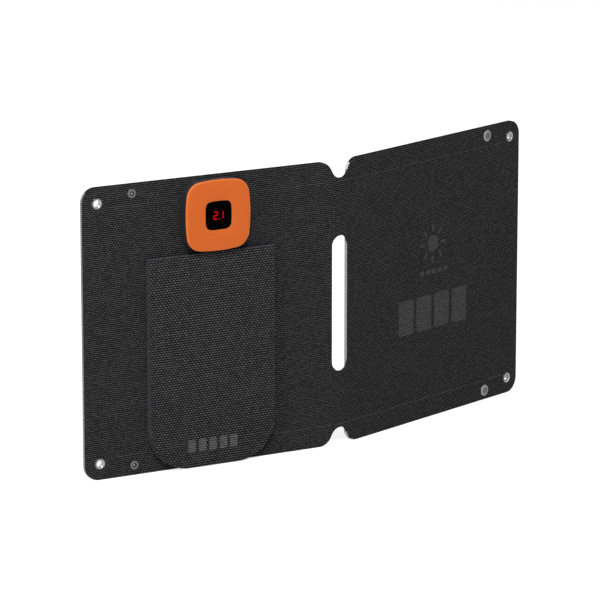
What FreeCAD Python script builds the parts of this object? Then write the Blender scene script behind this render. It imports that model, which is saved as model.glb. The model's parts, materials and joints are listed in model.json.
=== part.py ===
import FreeCAD, Part
import math
import os

# A two-panel folding solar charger: two fabric-faced boards joined by a fabric fold, solar cells on
# one side, and on the other side a USB controller box and a hinged leg that props the panels up.
#
# Frame: +Z up, +X along the width, +Y from the fabric side to the solar side. The panels stand on
# their lower long edges in a shallow V whose ridge points to -Y. The origin is at the bottom of the
# box round the whole object, in the middle of its width and depth.
#
# Every piece is drawn on a flat board first: u runs from the fold line outward, y runs from the
# fabric face (0) into the board, z runs up. place() then turns the board to its side of the fold.

os.makedirs("parts", exist_ok=True)
V = FreeCAD.Vector

# ---- Driving dimensions, mm and degrees ----
panel_height = 250.0
panel_reach = 244.7  # from the fold line to the outer edge
board_angle = 10.0  # each board leans this far from flat
back_fabric_t = 0.6
core_t = 2.3
front_fabric_t = 0.6
outer_corner_r = 13.0

# The fold: a fabric web between the boards, with a handle slot and a notch at each end
web_half = 8.6  # from the fold line to each board's inner edge
slot_length = 119.3
notch_depth = 15.1
notch_bottom_r = 9.0
notch_corner_r = 13.0
notch_slant = 63.0  # angle of the notch's flank from the panel's edge
web_layer_t = 0.5
web_space = 0.4  # between the two layers, where the jumper runs
shut_gap = 4.0  # between the two solar sides when folded shut

# The black edging that is folded over the long edges
hem_t = 0.6
hem_turn = 45.0  # how far it follows the corners

# Solar module: a grid of cells on a back sheet under a clear film
border_u = 23.65
border_z = 21.25
module_margin = 8.0
module_corner_r = 4.0
cell_columns = 4
cell_rows = 3
cell_gap = 2.0
backsheet_t = 0.2
cell_t = 0.2
cell_corner = 3.0  # cut corner of each cell
ribbon_width = 5.0
ribbon_shares = (0.25, 0.75)  # places of the two ribbons across a cell
bus_width = 3.0

# Corner eyelets
eyelet_inset = 13.8  # centre from the outer edge and from the long edges
eyelet_bore_r = 3.0
eyelet_barrel_t = 0.5
eyelet_flange_r = 5.15
eyelet_flange_t = 0.8
eyelet_washer_t = 0.5
eyelet_roll_t = 0.3
eyelet_mouth_bevel = 0.4
eyelet_shoulder = 0.9  # flat of the flange ends this far from its edge
eyelet_edge_bevel = 0.2
washer_bevel = 0.3

# Snap fasteners that hold the panels shut
snap_inset_u = 46.0
snap_inset_z = 8.4
snap_tube_r = 1.7
snap_tube_bore_r = 1.1
snap_ring_r = 4.0
snap_ring_t = 0.6
stud_base_r = 4.5
stud_base_t = 0.6
stud_r = 2.3
stud_neck_r = 2.0
stud_height = 2.7
stud_neck_height = 0.6
stud_head_start = 1.2  # from the stud's base to its full head
stud_tip_t = 0.5
stud_tip_bevel = 0.5
snap_ring_bevel = 0.5
stud_base_bevel = 0.3
cap_r = 5.15
cap_rise = 1.3
cap_rim_t = 0.5
cap_rim_bevel = 0.1
cap_facets = 5
socket_r = 4.6
socket_height = 2.0
socket_recess_r = 2.8
socket_floor_t = 0.5
socket_head_t = 0.25
socket_head_lap = 0.4
socket_head_bevel = 0.1
socket_bevel = 0.4
socket_mouth_bevel = 0.2

# Conductors
jumper_width = 3.0
jumper_t = 0.3
jumper_pitch = 8.0  # between the two conductors
jumper_clear = 0.3
terminal_r = 1.0
terminal_inset = 8.0  # from the module's inner edge

# Controller box
controller_shift_u = -2.75  # from the panel's middle
controller_half = 30.4
controller_side_r = 140.0  # the sides bulge slightly
controller_corner_r = 13.5
controller_top_gap = 2.0  # from the box to the panel's upper edge
base_depth = 10.0
base_wall = 1.8
base_floor = 1.8
cover_t = 2.0
cover_round = 1.1
cover_lip_depth = 2.0
cover_lip_t = 1.0
lip_clear = 0.15
window_half = 12.3
window_side_r = 80.0
window_corner_r = 5.0
window_t = 1.1
window_recess = 0.1
window_clear = 0.1
sight_half_u = 8.5
sight_half_z = 7.5

# Circuit board and what is on it
boss_height = 1.1
boss_r = 2.6
boss_offset = 17.0
pcb_t = 1.6
pcb_clear = 1.0  # from the board to the base's wall
display_width = 15.0
display_height = 12.6
display_depth = 5.3
digit_height = 8.0
digit_width = 4.6
digit_pitch = 5.8
segment_width = 0.9
segment_gap = 0.12
segment_t = 0.2
point_share = 0.45  # radius of the point, in widths of a bar
usb_width = 13.1
usb_height = 5.7
usb_length = 14.0
usb_wall = 0.4
usb_below_board = 0.6  # the socket hangs in a gap in the circuit board
usb_inset = 0.4  # from the box's outer face to the socket's mouth
usb_clear = 0.15
usb_block = 4.0
usb_tongue_width = 11.1
usb_tongue_t = 1.84
usb_tongue_inset = 1.5
usb_contact_width = 1.0
usb_contact_pitch = 2.4
usb_contact_t = 0.12
usb_contacts_in_row = 4
usb_contact_inset = 1.0  # from the tongue's end
inductor_size = 7.3
inductor_height = 4.2
inductor_corner_r = 1.5
inductor_place = (15.0, 9.0)  # parts on the board, from the box's centre
capacitor_r = 3.0
capacitor_height = 5.0
capacitor_offsets = ((-14.5, 11.0), (-14.5, 4.0))
chip_width = 6.0
chip_height = 5.0
chip_t = 1.6
chip_place = (13.0, -10.0)
diode_width = 4.5
diode_height = 2.6
diode_t = 2.0
diode_place = (-13.0, -10.0)
lead_r = 0.8
lead_offset_u = 3.0
lead_offset_z = -15.0
lead_clear = 0.2

# Screws
box_screw_r = 1.0
box_screw_head_r = 2.0
box_screw_head_t = 1.0
box_screw_tip_skin = 0.3  # left on top of each boss
board_screw_r = 0.75
board_screw_head_r = 1.6
board_screw_head_t = 1.0
board_screw_depth = 2.4
board_screw_offset_u = 20.0
board_screw_offset_z = -2.0
screw_clear = 0.05

# Leg
leg_width = 119.0
leg_depth = 6.4  # from the panel's fabric to the leg's face
leg_fabric_t = 0.6
leg_clear = 0.3  # behind the leg
leg_box_gap = 2.0  # from the leg's top to the controller box
leg_foot_clear = 0.5  # above the surface that the panels stand on
leg_corner_r = 36.0
leg_rim = 2.5
leg_floor = 1.0
leg_head = 9.0  # solid part at the hinge
stiffener_clear = 0.15
ear_offset = 20.0
ear_width = 5.0
ear_r = 1.9
ear_clear = 0.4
ear_foot_width = 14.0
ear_foot_height = 14.0
ear_foot_t = 0.8
pin_r = 1.0
pin_overhang = 7.0
pin_press = 0.05
pin_run = 0.1

# ---- Worked out from them ----
panel_t = back_fabric_t + core_t + front_fabric_t
core_face = back_fabric_t + core_t  # y of the board's solar face
slant = math.radians(notch_slant)
angle = math.radians(board_angle)
mid_u = (web_half + panel_reach) / 2
mid_z = panel_height / 2
depth_middle = (panel_reach * math.sin(angle) + panel_t * math.cos(angle)) / 2
notch_edge_u = (notch_corner_r + notch_bottom_r) * math.sin(slant) + (
    notch_depth + (notch_corner_r + notch_bottom_r) * (math.cos(slant) - 1)
) / math.tan(slant)
module_u0 = web_half + border_u
module_u1 = panel_reach - border_u
module_z0 = border_z
module_z1 = panel_height - border_z
cell_width = (module_u1 - module_u0 - 2 * module_margin - (cell_columns - 1) * cell_gap) / cell_columns
cell_height = (module_z1 - module_z0 - 2 * module_margin - (cell_rows - 1) * cell_gap) / cell_rows
eyelet_places = [
    (panel_reach - eyelet_inset, eyelet_inset),
    (panel_reach - eyelet_inset, panel_height - eyelet_inset),
]
snap_places = [
    (panel_reach - snap_inset_u, snap_inset_z),
    (panel_reach - snap_inset_u, panel_height - snap_inset_z),
]
jumper_z = (notch_depth + mid_z - slot_length / 2) / 2
terminal_u = module_u0 + terminal_inset
terminal_places = [(terminal_u, jumper_z + s * jumper_pitch / 2) for s in (-1, 1)]
box_u = mid_u + controller_shift_u
box_z = panel_height - controller_top_gap - controller_half
box_depth = base_depth + cover_t
boss_top = base_floor + boss_height
pcb_top = boss_top + pcb_t
box_screw_places = [(box_u + i * boss_offset, box_z + j * boss_offset) for i in (-1, 1) for j in (-1, 1)]
board_screw_places = [
    (box_u + i * board_screw_offset_u, box_z + board_screw_offset_z) for i in (-1, 1)
]
lead_places = [(box_u + i * lead_offset_u, box_z + lead_offset_z) for i in (-1, 1)]
leg_top = box_z - controller_half - leg_box_gap
hinge_r = (leg_depth - leg_clear) / 2  # the leg's back turns round the pin at this radius
hinge_depth = leg_clear + hinge_r
hinge_z = leg_top - hinge_r
ear_places = [mid_u + i * ear_offset for i in (-1, 1)]


# ---- Drawing helpers ----
def at(u, z, y=0.0):
    return V(u, y, z)


def line(p, q):
    return Part.LineSegment(p, q).toShape()


def arc(centre_u, centre_z, radius, start, end):
    """An arc in the board's plane, its angles in degrees from +u towards +z."""
    turns = [math.radians(a) for a in (start, (start + end) / 2, end)]
    points = [at(centre_u + radius * math.cos(a), centre_z + radius * math.sin(a)) for a in turns]
    return Part.Arc(*points).toShape()


def closed(arcs):
    """A face bounded by the given edges in order, with straight lines across the gaps."""
    edges = []
    for i, edge in enumerate(arcs):
        edges.append(edge)
        here = edge.lastVertex(True).Point
        there = arcs[(i + 1) % len(arcs)].firstVertex(True).Point
        if here.distanceToPoint(there) > 1e-6:
            edges.append(line(here, there))
    return Part.Face(Part.Wire(edges))


def prism(face, y0, y1):
    return face.translated(V(0, y0, 0)).extrude(V(0, y1 - y0, 0))


def block(u0, u1, y0, y1, z0, z1):
    return Part.makeBox(u1 - u0, y1 - y0, z1 - z0, V(u0, y0, z0))


def rod(u, z, radius, y0, y1):
    return Part.makeCylinder(radius, y1 - y0, V(u, y0, z), V(0, 1, 0))


def rods(places, radius, y0, y1):
    return [rod(u, z, radius, y0, y1) for u, z in places]


def turned(profile, places):
    """Bodies turned about an axis through the board, from a closed profile of (radius, y) points."""
    points = [V(r, y, 0) for r, y in profile]
    edges = [line(p, q) for p, q in zip(points, points[1:] + points[:1])]
    body = Part.Face(Part.Wire(edges)).revolve(V(0, 0, 0), V(0, 1, 0), 360)
    return [body.translated(V(u, 0, z)) for u, z in places]


def cut(shape, tools):
    return shape.cut(Part.makeCompound(tools)) if tools else shape


def rounded(u, z, width, height, radius):
    """A rectangle with round corners about (u, z)."""
    du, dz = width / 2 - radius, height / 2 - radius
    return closed(
        [
            arc(u + du, z + dz, radius, 0, 90),
            arc(u - du, z + dz, radius, 90, 180),
            arc(u - du, z - dz, radius, 180, 270),
            arc(u + du, z - dz, radius, 270, 360),
        ]
    )


def squircle(u, z, half, side_r, corner_r, inset=0.0):
    """A square with slightly bulging sides and round corners, each side moved in by inset."""
    k = side_r - half
    reach = side_r - corner_r
    c = (math.sqrt(2 * reach**2 - k**2) - k) / 2
    bend = math.degrees(math.atan2(c, c + k))
    arcs = []
    for quarter in range(4):
        turn = 90 * quarter
        cos, sin = math.cos(math.radians(turn)), math.sin(math.radians(turn))
        arcs.append(arc(u - k * cos, z - k * sin, side_r - inset, turn - bend, turn + bend))
        arcs.append(
            arc(
                u + c * (cos - sin),
                z + c * (sin + cos),
                corner_r - inset,
                turn + bend,
                turn + 90 - bend,
            )
        )
    return closed(arcs)


def silhouette(inset=0.0):
    """One board and its half of the web, from the fold line outward, moved in by inset."""
    fold_r = notch_bottom_r + inset
    notch_r = notch_corner_r - inset
    corner_r = outer_corner_r - inset
    corner_u = panel_reach - outer_corner_r
    top = panel_height
    return closed(
        [
            arc(0, top - notch_depth + notch_bottom_r, fold_r, -90, notch_slant - 90),
            arc(notch_edge_u, top - notch_corner_r, notch_r, 90 + notch_slant, 90),
            arc(corner_u, top - outer_corner_r, corner_r, 90, 0),
            arc(corner_u, outer_corner_r, corner_r, 0, -90),
            arc(notch_edge_u, notch_corner_r, notch_r, -90, -90 - notch_slant),
            arc(0, notch_depth - notch_bottom_r, fold_r, 90 - notch_slant, 90),
        ]
    )


def slot_face():
    half = slot_length / 2 - web_half
    return closed(
        [arc(0, mid_z + half, web_half, 0, 180), arc(0, mid_z - half, web_half, 180, 360)]
    )


def board_layer(y0, y1, inset=0.0):
    beyond = 1.0
    board = block(web_half, panel_reach + beyond, y0 - beyond, y1 + beyond, -beyond, panel_height + beyond)
    return prism(silhouette(inset), y0, y1).common(board)


# ---- From the flat board to the object's frame ----
def place(shape, side):
    if side == "left":
        shape = shape.mirror(V(0, 0, 0), V(1, 0, 0))
        shape.rotate(V(0, 0, 0), V(0, 0, 1), -board_angle)
    else:
        shape = shape.copy()
        shape.rotate(V(0, 0, 0), V(0, 0, 1), board_angle)
    shape.translate(V(0, -depth_middle, 0))
    return shape


def save(name, solids):
    shape = solids[0] if len(solids) == 1 else Part.makeCompound(solids)
    shape.exportStep("parts/" + name + ".step")


def save_on(side, name, solids):
    save(name, [place(s, side) for shape in solids for s in shape.Solids])


# ---- Boards, fabrics and edging ----
def board_holes():
    """Through holes that both boards have: the eyelets' barrels and the snaps' tubes."""
    barrel_r = eyelet_bore_r + eyelet_barrel_t
    through = (-1, panel_t + 1)
    return rods(eyelet_places, barrel_r, *through) + rods(snap_places, snap_tube_r, *through)


def hem_strips(y0, y1):
    turn_in = outer_corner_r * (1 - math.cos(math.radians(hem_turn)))
    shell = board_layer(y0, y1).cut(prism(silhouette(hem_t), y0 - 1, y1 + 1))
    u0, u1 = web_half, panel_reach
    low = shell.common(block(u0, u1, y0, y1, -1, turn_in))
    high = shell.common(block(u0, u1, y0, y1, panel_height - turn_in, panel_height + 1))
    return [low, high]


def jumper_run(u0, u1, y0, y1, clear=0.0):
    strips = []
    for _, z in terminal_places:
        half = jumper_width / 2 + clear
        strips.append(block(u0, u1 + clear, y0, y1, z - half, z + half))
    return strips


def make_board(side):
    hems = hem_strips(back_fabric_t, core_face)
    jumper_channel = jumper_run(
        web_half - 1, terminal_u + jumper_width / 2, back_fabric_t, back_fabric_t + web_space, jumper_clear
    )
    terminal_holes = rods(terminal_places, terminal_r, back_fabric_t, core_face + 1)
    core_tools = hems + board_holes() + jumper_channel + terminal_holes
    back_tools = board_holes()
    if side == "left":
        head_seat = core_face - box_screw_head_t
        core_tools += (
            rods(box_screw_places, box_screw_r + screw_clear, -1, core_face + 1)
            + rods(box_screw_places, box_screw_head_r + screw_clear, head_seat, core_face + 1)
            + rods(lead_places, lead_r + lead_clear, -1, core_face + 1)
            + ear_feet(back_fabric_t)
        )
        back_tools = back_tools + (
            rods(box_screw_places, box_screw_r + screw_clear, -1, back_fabric_t + 1)
            + rods(lead_places, lead_r + lead_clear, -1, back_fabric_t + 1)
            + ear_stems(-1, back_fabric_t + 1)
        )
    core = cut(board_layer(back_fabric_t, core_face), core_tools)
    back = cut(board_layer(0, back_fabric_t), back_tools)
    window = prism(module_outline(), core_face - 1, panel_t + 1)
    front = cut(board_layer(core_face, panel_t), board_holes() + [window])
    save_on(side, side + "_core_board", [core])
    save_on(side, side + "_back_fabric", [back])
    save_on(side, side + "_front_fabric", [front])
    save_on(side, side + "_hems", hems)
    save_on(side, side + "_terminals", terminals())


def terminals():
    return rods(terminal_places, terminal_r, back_fabric_t + jumper_t, core_face)


# ---- Solar module ----
def module_outline():
    width, height = module_u1 - module_u0, module_z1 - module_z0
    return rounded((module_u0 + module_u1) / 2, mid_z, width, height, module_corner_r)


def cell_corner_point(column, row):
    u = module_u0 + module_margin + column * (cell_width + cell_gap)
    z = module_z0 + module_margin + row * (cell_height + cell_gap)
    return u, z


def cell(column, row, y0):
    u0, z0 = cell_corner_point(column, row)
    u1, z1 = u0 + cell_width, z0 + cell_height
    c = cell_corner
    corners = [
        (u0 + c, z0), (u1 - c, z0), (u1, z0 + c), (u1, z1 - c),
        (u1 - c, z1), (u0 + c, z1), (u0, z1 - c), (u0, z0 + c),
    ]
    wire = Part.makePolygon([at(u, z) for u, z in corners + corners[:1]])
    return prism(Part.Face(wire), y0, y0 + cell_t)


def ribbons(y0):
    """Tabs across the gaps in each column, and a bus bar from each column to the next."""
    y1 = y0 + cell_t
    first, last = ribbon_shares
    pieces = []
    for column in range(cell_columns):
        for row in range(cell_rows - 1):
            u, z = cell_corner_point(column, row)
            for share in ribbon_shares:
                mid = u + share * cell_width
                top = z + cell_height
                pieces.append(
                    block(mid - ribbon_width / 2, mid + ribbon_width / 2, y0, y1, top, top + cell_gap)
                )
    for column in range(cell_columns - 1):
        u, _ = cell_corner_point(column, 0)
        over = column % 2 == 0
        z = cell_corner_point(0, cell_rows - 1)[1] + cell_height if over else module_z0 + module_margin
        z0, z1 = (z, z + bus_width) if over else (z - bus_width, z)
        start, end = u + first * cell_width, u + cell_gap + (1 + last) * cell_width
        pieces.append(block(start, end, y0, y1, z0, z1))
    for column in (0, cell_columns - 1):
        u, z = cell_corner_point(column, 0)
        pieces.append(block(u + first * cell_width, u + last * cell_width, y0, y1, z - bus_width, z))
    return pieces


def make_module(side):
    face = module_outline()
    under = core_face + backsheet_t
    cells = [cell(i, j, under) for i in range(cell_columns) for j in range(cell_rows)]
    tabs = ribbons(under)
    film = cut(prism(face, under, panel_t), cells + tabs)
    save_on(side, side + "_backsheet", [prism(face, core_face, under)])
    save_on(side, side + "_cells", cells)
    save_on(side, side + "_ribbons", tabs)
    save_on(side, side + "_front_film", [film])


# ---- Eyelets and snaps ----
def make_eyelets(side):
    bore, barrel = eyelet_bore_r, eyelet_bore_r + eyelet_barrel_t
    washer_top = panel_t + eyelet_washer_t
    end = washer_top + eyelet_roll_t
    roll = barrel + eyelet_barrel_t
    eyelet = [
        (bore, -eyelet_flange_t * 3 / 4), (bore + eyelet_mouth_bevel, -eyelet_flange_t),
        (eyelet_flange_r - eyelet_shoulder, -eyelet_flange_t),
        (eyelet_flange_r - eyelet_edge_bevel, -eyelet_flange_t / 2),
        (eyelet_flange_r, 0), (barrel, 0), (barrel, washer_top),
        (roll, washer_top), (roll, washer_top + eyelet_roll_t / 2), (roll - eyelet_roll_t, end), (bore, end),
    ]
    washer = [
        (barrel, panel_t), (eyelet_flange_r, panel_t),
        (eyelet_flange_r - washer_bevel, washer_top), (barrel, washer_top),
    ]
    save_on(side, side + "_eyelets", turned(eyelet, eyelet_places))
    save_on(side, side + "_eyelet_washers", turned(washer, eyelet_places))


def make_snap_studs():
    """The left half: an open ring post on the fabric side, a stud on the solar side."""
    tube_end = panel_t + stud_height - stud_tip_t
    post = [
        (snap_tube_bore_r, -snap_ring_t), (snap_ring_r - snap_ring_bevel, -snap_ring_t),
        (snap_ring_r, 0), (snap_tube_r, 0), (snap_tube_r, tube_end),
        (0, tube_end), (0, tube_end - stud_tip_t), (snap_tube_bore_r, tube_end - stud_tip_t),
    ]
    top = panel_t + stud_height
    base_top = panel_t + stud_base_t
    stud = [
        (snap_tube_r, panel_t), (stud_base_r, panel_t), (stud_base_r - stud_base_bevel, base_top),
        (stud_neck_r, base_top), (stud_neck_r, base_top + stud_neck_height),
        (stud_r, base_top + stud_head_start), (stud_r, top - stud_tip_bevel),
        (stud_r - stud_tip_bevel, top), (0, top), (0, tube_end), (snap_tube_r, tube_end),
    ]
    save_on("left", "left_snap_posts", turned(post, snap_places))
    save_on("left", "left_snap_studs", turned(stud, snap_places))


def make_snap_sockets():
    """The right half: a domed cap on the fabric side, a socket on the solar side."""
    floor = panel_t + socket_floor_t
    head_top = floor + socket_head_t
    head_r = snap_tube_r + socket_head_lap
    turns = [math.pi / 2 * i / cap_facets for i in range(cap_facets)]
    rise = [(cap_r * math.cos(a), -cap_rim_t - (cap_rise - cap_rim_t) * math.sin(a)) for a in turns]
    cap = [(0, -cap_rise)] + rise[::-1] + [
        (cap_r - cap_rim_bevel, 0), (snap_tube_r, 0), (snap_tube_r, floor),
        (head_r, floor), (head_r - socket_head_bevel, head_top), (0, head_top),
    ]
    mouth = panel_t + socket_height
    socket = [
        (snap_tube_r, panel_t), (socket_r, panel_t), (socket_r, mouth - socket_bevel),
        (socket_r - socket_bevel, mouth), (socket_recess_r + socket_mouth_bevel, mouth),
        (socket_recess_r, mouth - socket_mouth_bevel), (socket_recess_r, floor), (snap_tube_r, floor),
    ]
    save_on("right", "right_snap_caps", turned(cap, snap_places))
    save_on("right", "right_snap_sockets", turned(socket, snap_places))


# ---- The fold ----
def web_half_layer(side, y0, y1):
    half = prism(silhouette(), y0, y1).common(block(-1, web_half, y0, y1, -1, panel_height + 1))
    half = half.cut(prism(slot_face(), y0 - 1, y1 + 1))
    half = place(half, side)
    reach = 2 * web_half
    u0, u1 = (-reach, 0) if side == "left" else (0, reach)
    return half.common(block(u0, u1, -panel_height, panel_height, -1, panel_height + 1))


def make_fold():
    layers = {
        "fold_web_outer": (0, web_layer_t),
        "fold_web_inner": (web_layer_t + web_space, 2 * web_layer_t + web_space),
    }
    for name, (y0, y1) in layers.items():
        whole = web_half_layer("left", y0, y1).fuse(web_half_layer("right", y0, y1))
        save(name, whole.removeSplitter().Solids)
    y0, end = back_fabric_t, terminal_u + jumper_width / 2
    halves = []
    for side in ("left", "right"):
        run = Part.makeCompound(jumper_run(-1, end, y0, y0 + jumper_t))
        u0, u1 = (-2 * end, 0) if side == "left" else (0, 2 * end)
        wedge = block(u0, u1, -panel_height, panel_height, -1, panel_height)
        halves.append(place(run, side).common(wedge))
    save("fold_jumper", halves[0].fuse(halves[1]).removeSplitter().Solids)


# ---- Controller box, drawn from the panel's fabric out to -y ----
def box_face(inset=0.0):
    return squircle(box_u, box_z, controller_half, controller_side_r, controller_corner_r, inset)


def window_face(clear=0.0):
    return squircle(box_u, box_z, window_half, window_side_r, window_corner_r, -clear)


def usb_block_at(clear, z0, z1):
    top = pcb_top - pcb_t + usb_below_board - usb_clear + usb_height
    y_near, y_far = -(top - usb_height) + clear, -top - clear
    half = usb_width / 2 + clear
    return block(box_u - half, box_u + half, y_far, y_near, z0, z1)


usb_mouth_z = box_z + controller_half - usb_inset
usb_back_z = usb_mouth_z - usb_length


def make_box_shells():
    base = prism(box_face(), -base_depth, 0)
    base = base.cut(prism(box_face(base_wall), -base_depth - 1, -base_floor))
    bosses = rods(box_screw_places, boss_r, -boss_top, -base_floor)
    bosses += rods(board_screw_places, boss_r, -boss_top, -base_floor)
    base = base.fuse(Part.makeCompound(bosses)).removeSplitter()
    holes = rods(box_screw_places, box_screw_r + screw_clear, -boss_top + box_screw_tip_skin, 1)
    board_screw_end = -boss_top + board_screw_depth
    holes += rods(board_screw_places, board_screw_r + screw_clear, -boss_top - 1, board_screw_end)
    holes += rods(lead_places, lead_r + lead_clear, -base_floor - 1, 1)
    holes.append(usb_block_at(usb_clear, usb_back_z, box_z + controller_half + 1))
    save_on("left", "controller_base", [cut(base, holes)])

    cover = prism(box_face(), -box_depth, -base_depth)
    rim = [e for e in cover.Edges if abs(e.BoundBox.YMax + box_depth) < 1e-6]
    cover = cover.makeFillet(cover_round, rim)
    lip_in = base_wall + lip_clear
    lip = prism(box_face(lip_in), -base_depth, -base_depth + cover_lip_depth)
    lip = lip.cut(prism(box_face(lip_in + cover_lip_t), -base_depth - 1, -base_depth + cover_lip_depth + 1))
    lip = lip.cut(usb_block_at(2 * usb_clear, usb_back_z, box_z + controller_half))
    cover = cover.fuse(lip).removeSplitter()
    seat = -box_depth + window_recess + window_t
    cover = cover.cut(prism(window_face(window_clear), -box_depth - 1, seat))
    sight = block(
        box_u - sight_half_u, box_u + sight_half_u, -box_depth, 0, box_z - sight_half_z, box_z + sight_half_z
    )
    save_on("left", "controller_cover", [cover.cut(sight)])
    save_on("left", "display_window", [prism(window_face(), seat - window_t, seat)])


def segment(u, z, length, upright):
    """One bar of a digit, with pointed ends."""
    w = segment_width / 2
    run = length / 2 - segment_gap
    points = [(-run, 0), (-run + w, w), (run - w, w), (run, 0), (run - w, -w), (-run + w, -w)]
    if upright:
        points = [(b, a) for a, b in points]
    wire = Part.makePolygon([at(u + a, z + b) for a, b in points + points[:1]])
    y1 = -pcb_top - display_depth
    return prism(Part.Face(wire), y1 - segment_t, y1)


def digit(u):
    """Seven bars and a point; on the fabric side of the left board +u is the reader's left."""
    across = digit_width - segment_width
    half = (digit_height - segment_width) / 2
    bars = [segment(u, box_z + k * half, across, False) for k in (-1, 0, 1)]
    for side in (-1, 1):
        for k in (-1, 1):
            bars.append(segment(u + side * across / 2, box_z + k * half / 2, half, True))
    y1 = -pcb_top - display_depth
    point = rod(u - digit_pitch / 2, box_z - half, segment_width * point_share, y1 - segment_t, y1)
    return bars + [point]


def make_electronics():
    pcb = prism(box_face(base_wall + pcb_clear), -pcb_top, -boss_top)
    pcb = pcb.cut(usb_block_at(2 * usb_clear, usb_back_z - 2 * usb_clear, box_z + controller_half))
    pcb = cut(pcb, rods(board_screw_places, board_screw_r + 2 * screw_clear, -pcb_top - 1, 0))
    save_on("left", "circuit_board", [pcb])

    def on_board(du, dz, width, height, depth):
        u, z = box_u + du, box_z + dz
        return block(u - width / 2, u + width / 2, -pcb_top - depth, -pcb_top, z - height / 2, z + height / 2)

    save_on("left", "display_module", [on_board(0, 0, display_width, display_height, display_depth)])
    bars = [bar for side in (-1, 1) for bar in digit(box_u + side * digit_pitch / 2)]
    save_on("left", "display_segments", bars)
    du, dz = inductor_place
    inductor = rounded(box_u + du, box_z + dz, inductor_size, inductor_size, inductor_corner_r)
    save_on("left", "inductor", [prism(inductor, -pcb_top - inductor_height, -pcb_top)])
    cans = [(box_u + du, box_z + dz) for du, dz in capacitor_offsets]
    save_on("left", "capacitors", rods(cans, capacitor_r, -pcb_top - capacitor_height, -pcb_top))
    save_on("left", "converter_chip", [on_board(*chip_place, chip_width, chip_height, chip_t)])
    save_on("left", "diode", [on_board(*diode_place, diode_width, diode_height, diode_t)])
    save_on("left", "panel_leads", rods(lead_places, lead_r, -boss_top, core_face))


def make_usb_socket():
    outer = usb_block_at(0, usb_back_z, usb_mouth_z)
    inner = usb_block_at(-usb_wall, usb_back_z - 1, usb_mouth_z + 1)
    box = inner.BoundBox
    mid_y = (box.YMin + box.YMax) / 2
    block_end = usb_back_z + usb_block
    plug = block(box.XMin, box.XMax, box.YMin, box.YMax, usb_back_z, block_end)
    tongue_y0 = mid_y - usb_tongue_t / 2
    tongue_end = usb_mouth_z - usb_tongue_inset
    tongue = block(
        box_u - usb_tongue_width / 2, box_u + usb_tongue_width / 2,
        tongue_y0, tongue_y0 + usb_tongue_t, block_end, tongue_end,
    )
    contacts = []
    for i in range(usb_contacts_in_row):
        u = box_u + (i - (usb_contacts_in_row - 1) / 2) * usb_contact_pitch
        y1 = tongue_y0 + usb_tongue_t + usb_contact_t
        contacts.append(
            block(u - usb_contact_width / 2, u + usb_contact_width / 2,
                  tongue_y0 + usb_tongue_t, y1, block_end, tongue_end - usb_contact_inset)
        )
    save_on("left", "usb_shell", [outer.cut(inner)])
    save_on("left", "usb_insulator", [plug.fuse(tongue).removeSplitter()])
    save_on("left", "usb_contacts", contacts)


def make_screws():
    head_y = core_face - box_screw_head_t
    tip = -boss_top + box_screw_tip_skin + screw_clear
    box_screws = []
    for u, z in box_screw_places:
        head = rod(u, z, box_screw_head_r, head_y, core_face)
        box_screws.append(head.fuse(rod(u, z, box_screw_r, tip, head_y)).removeSplitter())
    board_screws = []
    for u, z in board_screw_places:
        head = rod(u, z, board_screw_head_r, -pcb_top - board_screw_head_t, -pcb_top)
        end = -boss_top + board_screw_depth - screw_clear
        board_screws.append(head.fuse(rod(u, z, board_screw_r, -pcb_top, end)).removeSplitter())
    save_on("left", "controller_screws", box_screws)
    save_on("left", "board_screws", board_screws)


# ---- Leg ----
def leg_face(inset=0.0, top=leg_top):
    half = leg_width / 2
    r = leg_corner_r
    low = leg_foot_clear
    edges = [
        arc(mid_u - half + r, low + r, r - inset, 180, 270),
        arc(mid_u + half - r, low + r, r - inset, 270, 360),
        line(at(mid_u + half - inset, top), at(mid_u - half + inset, top)),
    ]
    return closed(edges)


def ear_stems(y0, y1):
    half = ear_width / 2
    return [block(u - half, u + half, y0, y1, hinge_z - ear_r, hinge_z + ear_r) for u in ear_places]


def ear_feet(y0):
    half, z0, z1 = ear_foot_width / 2, hinge_z - ear_foot_height / 2, hinge_z + ear_foot_height / 2
    return [block(u - half, u + half, y0, y0 + ear_foot_t, z0, z1) for u in ear_places]


def along(u0, u1, radius):
    """A rod along the hinge line."""
    return Part.makeCylinder(radius, u1 - u0, V(u0, -hinge_depth, hinge_z), V(1, 0, 0))


def make_leg():
    back, face = -leg_clear, -leg_depth + leg_fabric_t
    shell = prism(leg_face(), face, back)
    head_z = leg_top - leg_head
    pocket_end = back - leg_floor
    shell = shell.cut(prism(leg_face(leg_rim, head_z), face - 1, pocket_end))
    u0, u1 = mid_u - leg_width, mid_u + leg_width
    corner = block(u0, u1, -hinge_depth, 1, hinge_z, leg_top + 1).cut(along(u0, u1, hinge_r))
    shell = shell.cut(corner)
    reach = ear_width / 2 + ear_clear
    gaps = [
        block(u - reach, u + reach, face - 1, 1, hinge_z - ear_r - ear_clear, leg_top + 1) for u in ear_places
    ]
    shell = cut(shell, gaps)
    pin0, pin1 = ear_places[0] - pin_overhang, ear_places[1] + pin_overhang
    shell = shell.cut(along(pin0 - ear_clear, pin1 + ear_clear, pin_r + pin_press))
    stiffener = prism(leg_face(leg_rim + stiffener_clear, head_z - stiffener_clear), face, pocket_end)
    save_on("left", "leg_shell", [shell])
    save_on("left", "leg_stiffener", [stiffener])
    save_on("left", "leg_face_fabric", [prism(leg_face(), -leg_depth, face)])
    save_on("left", "leg_hinge_pin", [along(pin0, pin1, pin_r)])

    ears = []
    stems = ear_stems(-hinge_depth, back_fabric_t + ear_foot_t / 2)
    for u, stem, foot in zip(ear_places, stems, ear_feet(back_fabric_t)):
        knuckle = along(u - ear_width / 2, u + ear_width / 2, ear_r)
        ear = stem.fuse(knuckle).fuse(foot).removeSplitter()
        ears.append(ear.cut(along(u - ear_width, u + ear_width, pin_r + pin_run)))
    save_on("left", "leg_hinge_ears", ears)


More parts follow.
